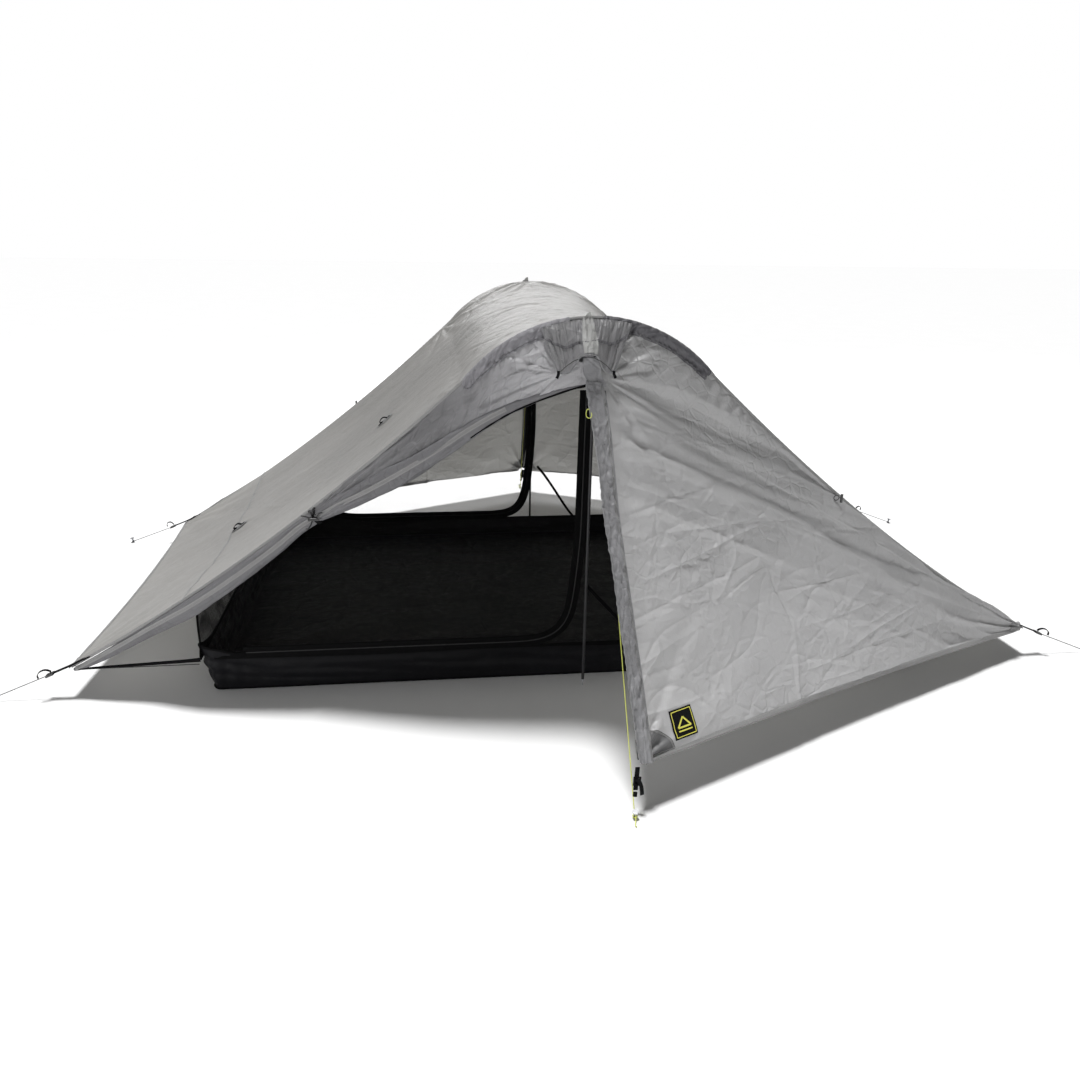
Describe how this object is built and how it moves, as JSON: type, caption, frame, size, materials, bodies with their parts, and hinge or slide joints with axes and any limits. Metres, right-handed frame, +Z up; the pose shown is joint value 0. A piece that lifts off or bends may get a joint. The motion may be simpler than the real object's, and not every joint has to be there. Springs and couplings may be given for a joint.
{
  "type": "two-pole backpacking tent",
  "caption": "Pitched two-pole tent with an arched strut at each ridge end, netting inner on a tub floor, a fold-back vestibule door tied open and stakes in the ground.",
  "frame": {"origin": "centre of the floor's underside, on the ground", "axes": "+X along the long side of the floor, -Y towards the entrance with the door tied back, +Z up"},
  "size_m": [3.6258, 2.884, 1.3065],
  "materials": {
    "fly_cloth": "matte",
    "dark_cloth": "matte",
    "netting": "matte",
    "floor_cloth": "satin",
    "black_tape": "matte",
    "vent_cloth": "satin",
    "yellow_cord": "matte",
    "black_cord": "matte",
    "black_plastic": "matte",
    "black_tube": "satin",
    "bare_alloy": "satin",
    "stake_alloy": "satin",
    "slider_metal": "satin"
  },
  "bodies": {
    "tent": {"roof_panel": "fly_cloth", "roof_end_panels": "fly_cloth", "brow_near": "fly_cloth", "brow_far": "fly_cloth", "near_left_door_rolled": "fly_cloth", "strut_sleeves": "dark_cloth", "pole_cups": "black_plastic", "tub_floor": "floor_cloth", "tub_walls": "floor_cloth", "mesh_walls": "netting", "mesh_tapes": "black_tape", "vent_meshes": "netting", "canopy_webbing": "black_tape", "corner_tensioners": "black_plastic", "corner_guylines": "black_cord", "elastic_cords": "black_cord", "apex_guylines": "yellow_cord", "spare_toggles": "black_plastic"},
    "near_right_door": {"near_right_door_panel": "fly_cloth", "near_storm_flap": "dark_cloth", "near_fly_zip_tape": "dark_cloth", "near_label_patch": "black_tape", "near_door_strap": "black_tape"},
    "near_fly_zip_slider": {"near_fly_slider": "slider_metal"},
    "far_right_door": {"far_right_door_panel": "fly_cloth", "far_storm_flap": "dark_cloth", "far_right_zip_tape": "dark_cloth", "far_door_strap": "black_tape"},
    "far_fly_zip_slider": {"far_fly_slider": "slider_metal"},
    "far_left_door": {"far_left_door_panel": "fly_cloth", "far_left_zip_tape": "dark_cloth"},
    "near_mesh_door": {"near_mesh_door_panel": "netting", "near_mesh_door_tape": "black_tape"},
    "far_mesh_door": {"far_mesh_door_panel": "netting", "far_mesh_door_tape": "black_tape"},
    "near_mesh_zip_slider": {"near_mesh_slider": "slider_metal"},
    "far_mesh_zip_slider": {"far_mesh_slider": "slider_metal"},
    "near_pole": {"near_pole_tubes": "black_tube", "near_pole_ferrules": "bare_alloy", "near_pole_cord": "black_cord", "near_pole_ends": "bare_alloy"},
    "far_pole": {"far_pole_tubes": "black_tube", "far_pole_ferrules": "bare_alloy", "far_pole_cord": "black_cord", "far_pole_ends": "bare_alloy"},
    "near_strut": {"near_strut_tubes": "black_tube", "near_strut_fittings": "bare_alloy"},
    "far_strut": {"far_strut_tubes": "black_tube", "far_strut_fittings": "bare_alloy"},
    "near_vent_hood": {"near_vent_hood": "vent_cloth", "near_vent_stiffener": "black_plastic"},
    "far_vent_hood": {"far_vent_hood": "vent_cloth", "far_vent_stiffener": "black_plastic"},
    "near_toggle": {"near_left_toggle": "black_plastic"},
    "stake_near_right": {"stake_near_right": "stake_alloy"},
    "stake_near_left": {"stake_near_left": "stake_alloy"},
    "stake_far_right": {"stake_far_right": "stake_alloy"},
    "stake_far_left": {"stake_far_left": "stake_alloy"},
    "stake_near_vestibule": {"stake_near_vestibule": "stake_alloy"},
    "stake_far_vestibule": {"stake_far_vestibule": "stake_alloy"}
  },
  "joints": [
    {"name": "near_right_door_swing", "type": "hinge", "parent": "tent", "child": "near_right_door", "pos_m": [0.005, -0.86, 0.978], "axis": [-0.8645, -0.1001, 0.4926], "range_deg": [0, 100]},
    {"name": "far_right_door_swing", "type": "hinge", "parent": "tent", "child": "far_right_door", "pos_m": [0.005, 0.86, 0.978], "axis": [0.8645, -0.1001, -0.4926], "range_deg": [0, 100]},
    {"name": "far_left_door_swing", "type": "hinge", "parent": "tent", "child": "far_left_door", "pos_m": [0.005, 0.86, 0.978], "axis": [0.8659, 0.0996, 0.4902], "range_deg": [0, 100]},
    {"name": "near_mesh_door_swing", "type": "hinge", "parent": "tent", "child": "near_mesh_door", "pos_m": [-0.0105, -0.73904, 0.96], "axis": [-0.791, 0.026, -0.6113], "range_deg": [0, 85]},
    {"name": "far_mesh_door_swing", "type": "hinge", "parent": "tent", "child": "far_mesh_door", "pos_m": [-0.0105, 0.73904, 0.96], "axis": [-0.791, -0.026, -0.6113], "range_deg": [0, 85]},
    {"name": "near_fly_slider_run", "type": "slide", "parent": "near_right_door", "child": "near_fly_zip_slider", "axis": [0.0298, -0.5217, -0.8526], "range_m": [0, 0.86]},
    {"name": "far_fly_slider_run", "type": "slide", "parent": "far_right_door", "child": "far_fly_zip_slider", "axis": [-0.0298, -0.5217, 0.8526], "range_m": [0, 0.86]},
    {"name": "near_mesh_slider_run", "type": "slide", "parent": "tent", "child": "near_mesh_zip_slider", "axis": [0, 0.0425, -0.9991], "range_m": [0, 0.42]},
    {"name": "far_mesh_slider_run", "type": "slide", "parent": "tent", "child": "far_mesh_zip_slider", "axis": [0, 0.0425, 0.9991], "range_m": [0, 0.36]},
    {"name": "near_pole_tilt", "type": "hinge", "parent": "tent", "child": "near_pole", "pos_m": [0.005, -0.768, 1.108], "axis": [0, -1, 0], "range_deg": [-20, 20]},
    {"name": "near_strut_withdraw", "type": "hinge", "parent": "tent", "child": "near_strut", "pos_m": [0, -0.768, 0.68], "axis": [0, 1, 0], "range_deg": [0, 25]},
    {"name": "near_vent_hood_lift", "type": "hinge", "parent": "tent", "child": "near_vent_hood", "pos_m": [0, -0.7885, 1.134], "axis": [-1, 0, 0], "range_deg": [0, 25]},
    {"name": "far_pole_tilt", "type": "hinge", "parent": "tent", "child": "far_pole", "pos_m": [0.005, 0.768, 1.108], "axis": [0, 1, 0], "range_deg": [-20, 20]},
    {"name": "far_strut_withdraw", "type": "hinge", "parent": "tent", "child": "far_strut", "pos_m": [0, 0.768, 0.68], "axis": [0, 1, 0], "range_deg": [0, 25]},
    {"name": "far_vent_hood_lift", "type": "hinge", "parent": "tent", "child": "far_vent_hood", "pos_m": [0, 0.7885, 1.134], "axis": [1, 0, 0], "range_deg": [0, 25]},
    {"name": "near_toggle_turn", "type": "hinge", "parent": "tent", "child": "near_toggle", "pos_m": [-0.791, -0.77438, 0.578], "axis": [0, 1, 0], "range_deg": [0, 80]},
    {"name": "stake_near_right_pull", "type": "slide", "parent": "tent", "child": "stake_near_right", "axis": [0.2588, 0, 0.9659], "range_m": [0, 0.16]},
    {"name": "stake_near_left_pull", "type": "slide", "parent": "tent", "child": "stake_near_left", "axis": [-0.2588, 0, 0.9659], "range_m": [0, 0.16]},
    {"name": "stake_far_right_pull", "type": "slide", "parent": "tent", "child": "stake_far_right", "axis": [0.2588, 0, 0.9659], "range_m": [0, 0.16]},
    {"name": "stake_far_left_pull", "type": "slide", "parent": "tent", "child": "stake_far_left", "axis": [-0.2588, 0, 0.9659], "range_m": [0, 0.16]},
    {"name": "stake_near_vestibule_pull", "type": "slide", "parent": "tent", "child": "stake_near_vestibule", "axis": [0, -0.2079, 0.9781], "range_m": [0, 0.16]},
    {"name": "stake_far_vestibule_pull", "type": "slide", "parent": "tent", "child": "stake_far_vestibule", "axis": [0, 0.2079, 0.9781], "range_m": [0, 0.16]}
  ]
}
